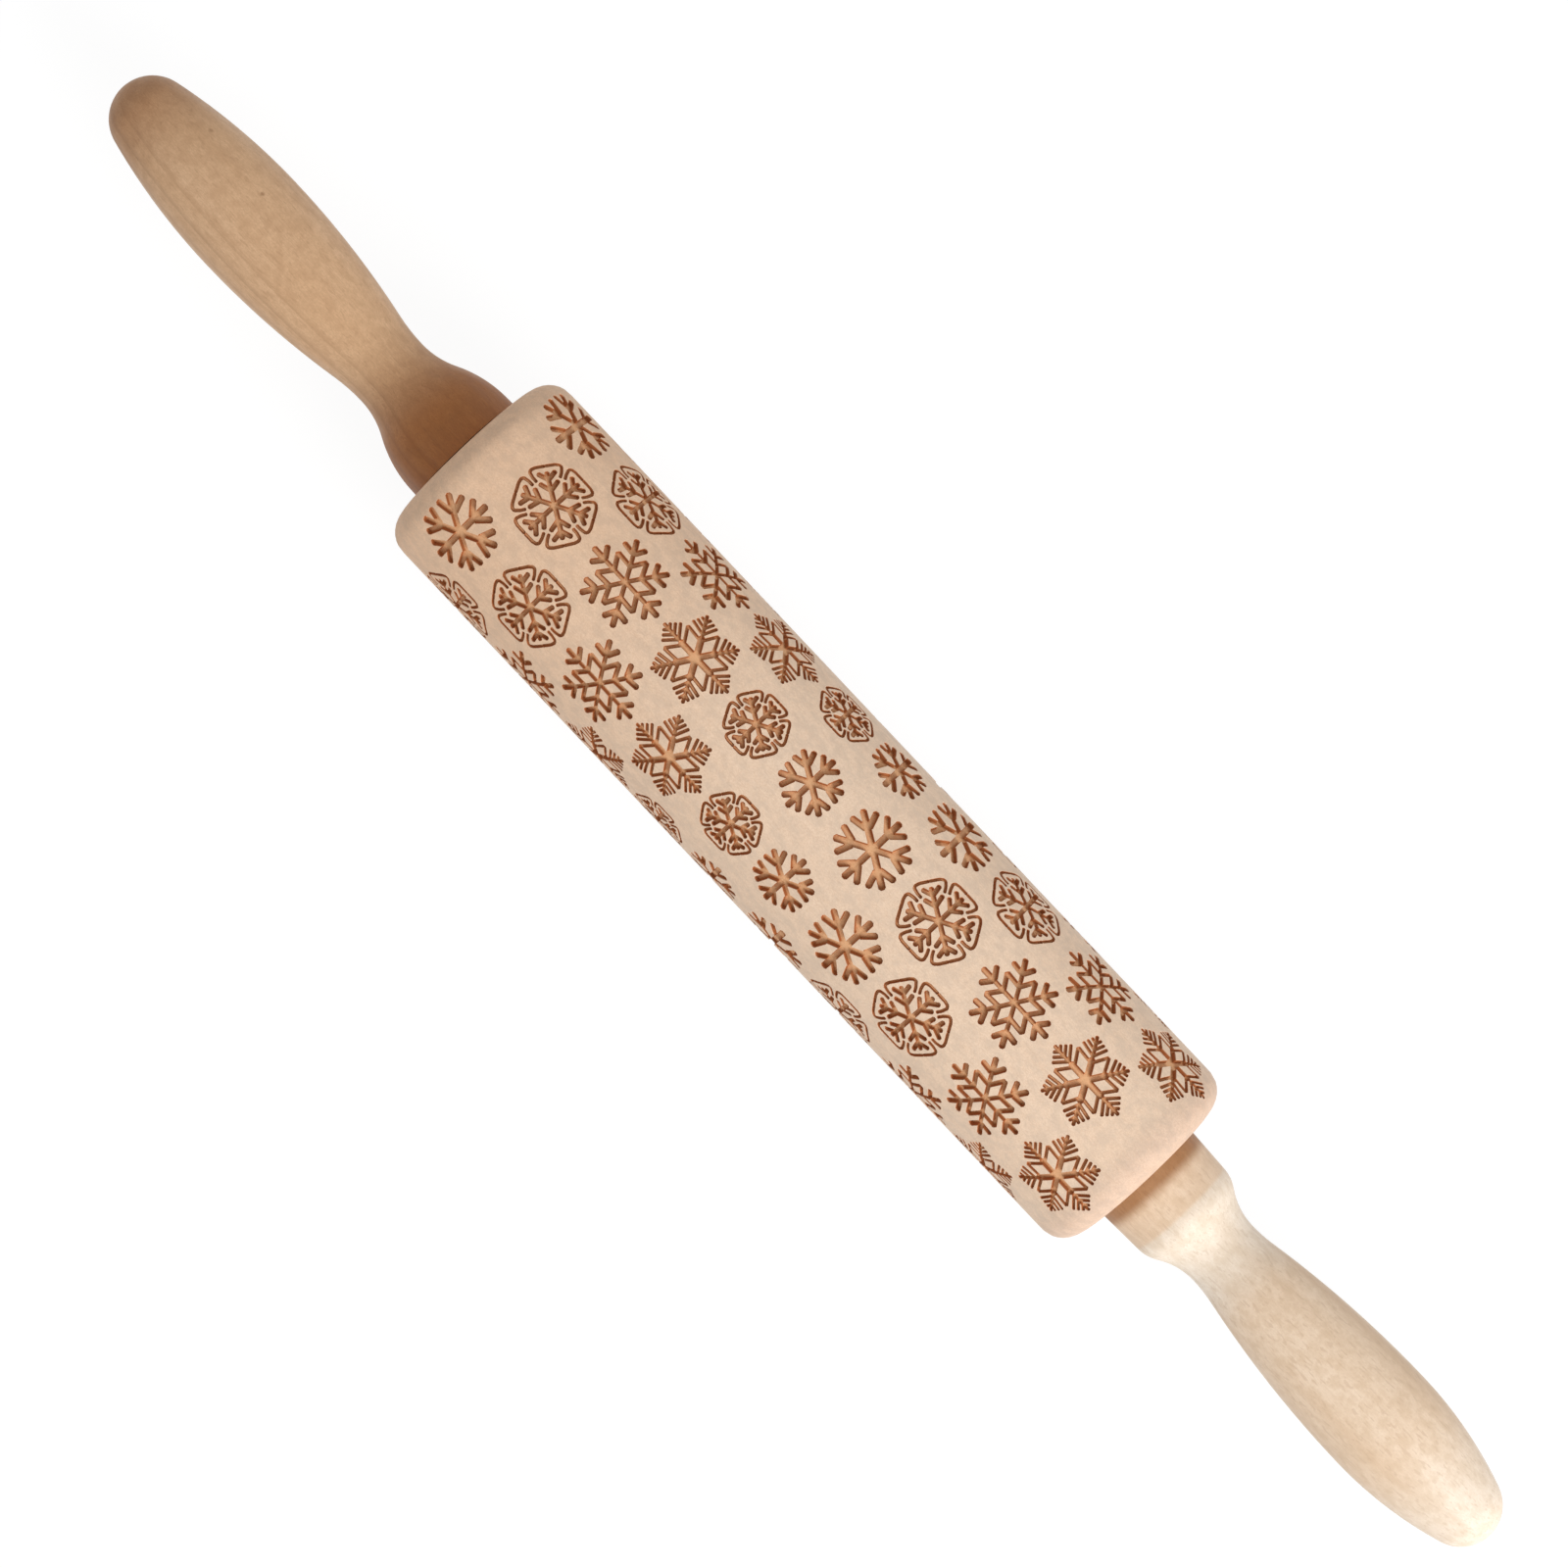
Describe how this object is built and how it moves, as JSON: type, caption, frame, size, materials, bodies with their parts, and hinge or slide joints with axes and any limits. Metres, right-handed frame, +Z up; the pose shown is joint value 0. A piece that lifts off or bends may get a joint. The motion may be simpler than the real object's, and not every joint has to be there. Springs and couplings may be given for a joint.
{
  "type": "embossed rolling pin",
  "caption": "Turned wooden rolling pin: a barrel engraved all over with snowflakes spins on an axle fixed between two shaped handles.",
  "frame": {"origin": "middle of the barrel on its axis, which is also the centre of the whole pin's box", "axes": "+X along the pin towards the handle with the crisper shoulder, +Z up"},
  "size_m": [0.432, 0.05, 0.05],
  "materials": {
    "barrel_wood": "bare pale beech, sanded, with laser-browned engraving",
    "axle_wood": "plain beech dowel",
    "left_handle_wood": "sanded tan beech",
    "right_handle_wood": "sanded pale beech",
    "bush_plastic": "natural moulded nylon",
    "washer_plastic": "natural nylon"
  },
  "bodies": {
    "handles": {"axle_rod": "axle_wood", "left_handle": "left_handle_wood", "right_handle": "right_handle_wood", "left_washer": "washer_plastic", "right_washer": "washer_plastic"},
    "roller": {"roller_barrel": "barrel_wood", "left_bush": "bush_plastic", "right_bush": "bush_plastic"}
  },
  "joints": [
    {"name": "roller_spin", "type": "hinge", "parent": "handles", "child": "roller", "pos_m": [0, 0, 0], "axis": [1, 0, 0], "continuous": true}
  ]
}
